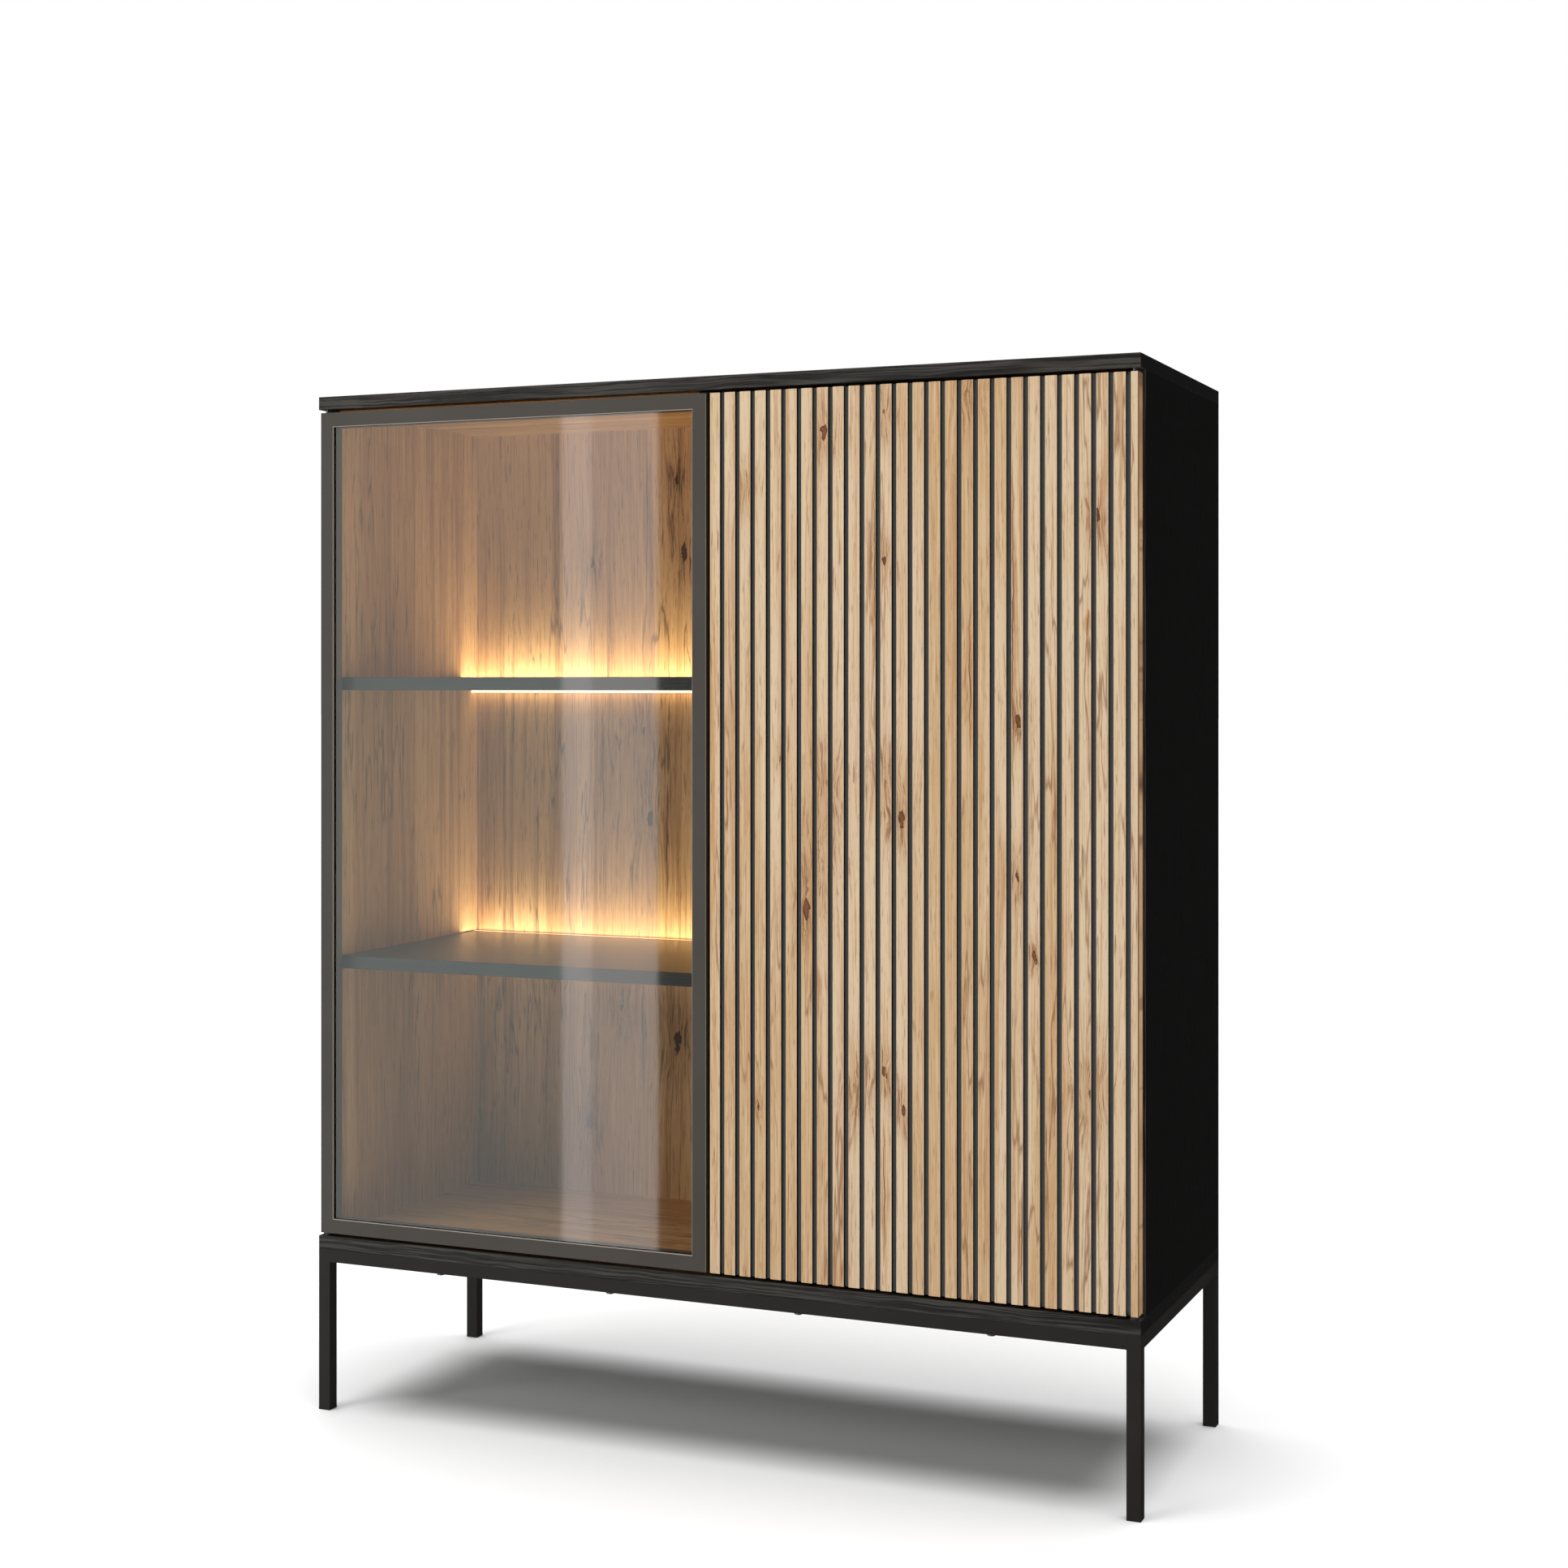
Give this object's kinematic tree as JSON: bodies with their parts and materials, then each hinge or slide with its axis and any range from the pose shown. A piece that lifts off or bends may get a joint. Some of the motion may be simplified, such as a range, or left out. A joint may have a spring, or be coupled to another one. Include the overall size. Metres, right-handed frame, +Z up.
{
  "type": "display cabinet",
  "caption": "Free-standing highboard on a square steel tube frame, with a lit bay behind a framed glass door and a second bay behind a vertical-slat oak door.",
  "frame": {"origin": "on the floor, under the middle of the cabinet", "axes": "+X towards the slatted door side seen from the front, -Y out of the doors, +Z up"},
  "size_m": [1.04, 0.382, 1.257],
  "materials": {
    "dark_oak_board": "dark oak decor with an embossed grain, outside; light oak inside",
    "oak_back_panel": "light oak decor, satin",
    "black_shelf": "black decor, satin",
    "beech": "raw",
    "frame_steel": "matte powder coat",
    "foot_plastic": "matte",
    "zinc_steel": "zinc plated",
    "strip_plastic": "matte",
    "light_profile": "dark anodised",
    "light_diffuser": "opal",
    "light_strip": "satin",
    "driver_plastic": "matte",
    "lead_sheath": "satin",
    "door_frame": "satin anthracite coating",
    "cleat_metal": "cast",
    "clear_glass": "polished, clear",
    "gasket_rubber": "matte",
    "door_plastic": "matte",
    "bush_plastic": "satin",
    "slat_backing": "black lacquer, matte",
    "slat_oak": "light oak decor, satin",
    "latch_plastic": "matte",
    "plunger_plastic": "satin"
  },
  "bodies": {
    "cabinet": {"back_joint_strip": "strip_plastic", "back_strip_screws": "zinc_steel", "bottom_board": "dark_oak_board", "centre_divider": "dark_oak_board", "dowels": "beech", "driver_screws": "zinc_steel", "frame_screws": "zinc_steel", "front_left_foot": "foot_plastic", "front_left_leg": "frame_steel", "front_rail": "frame_steel", "front_right_foot": "foot_plastic", "front_right_leg": "frame_steel", "glass_door_bushes": "bush_plastic", "glass_door_latch_housing": "latch_plastic", "latch_springs": "zinc_steel", "lead_clips": "driver_plastic", "led_driver": "driver_plastic", "led_strips": "light_strip", "left_back_panel": "oak_back_panel", "left_lower_shelf": "black_shelf", "left_rail": "frame_steel", "left_side_panel": "dark_oak_board", "left_upper_shelf": "black_shelf", "lower_led_diffuser": "light_diffuser", "lower_led_lead": "lead_sheath", "lower_led_profile": "light_profile", "rear_left_foot": "foot_plastic", "rear_left_leg": "frame_steel", "rear_rail": "frame_steel", "rear_right_foot": "foot_plastic", "rear_right_leg": "frame_steel", "right_back_panel": "oak_back_panel", "right_lower_shelf": "black_shelf", "right_rail": "frame_steel", "right_side_panel": "dark_oak_board", "right_upper_shelf": "black_shelf", "shelf_pins": "zinc_steel", "slat_door_bushes": "bush_plastic", "slat_door_latch_housing": "latch_plastic", "top_board": "dark_oak_board", "upper_led_diffuser": "light_diffuser", "upper_led_lead": "lead_sheath", "upper_led_profile": "light_profile"},
    "glass_door": {"glass_door_hinge_stile": "door_frame", "glass_door_free_stile": "door_frame", "glass_door_top_rail": "door_frame", "glass_door_bottom_rail": "door_frame", "glass_door_corner_cleats": "cleat_metal", "glass_door_end_caps": "door_plastic", "glass_pane": "clear_glass", "glass_gasket": "gasket_rubber", "glass_door_pivots": "zinc_steel", "glass_door_strike": "zinc_steel"},
    "slat_door": {"slat_door_panel": "slat_backing", "slat_door_slats": "slat_oak", "slat_door_pivots": "zinc_steel", "slat_door_strike": "zinc_steel"},
    "glass_latch_plunger": {"glass_door_latch_plunger": "plunger_plastic"},
    "slat_latch_plunger": {"slat_door_latch_plunger": "plunger_plastic"}
  },
  "joints": [
    {"name": "glass_door_hinge", "type": "hinge", "parent": "cabinet", "child": "glass_door", "pos_m": [-0.5115, -0.1835, 0.7285], "axis": [0, 0, -1], "range_deg": [0, 110]},
    {"name": "slat_door_hinge", "type": "hinge", "parent": "cabinet", "child": "slat_door", "pos_m": [0.5115, -0.1835, 0.7285], "axis": [0, 0, 1], "range_deg": [0, 110]},
    {"name": "glass_latch_press", "type": "slide", "parent": "cabinet", "child": "glass_latch_plunger", "axis": [0, 1, 0], "range_m": [0, 0.0025], "stiffness_N_per_m": 300, "springref_m": -0.004},
    {"name": "slat_latch_press", "type": "slide", "parent": "cabinet", "child": "slat_latch_plunger", "axis": [0, 1, 0], "range_m": [0, 0.0025], "stiffness_N_per_m": 300, "springref_m": -0.004}
  ]
}
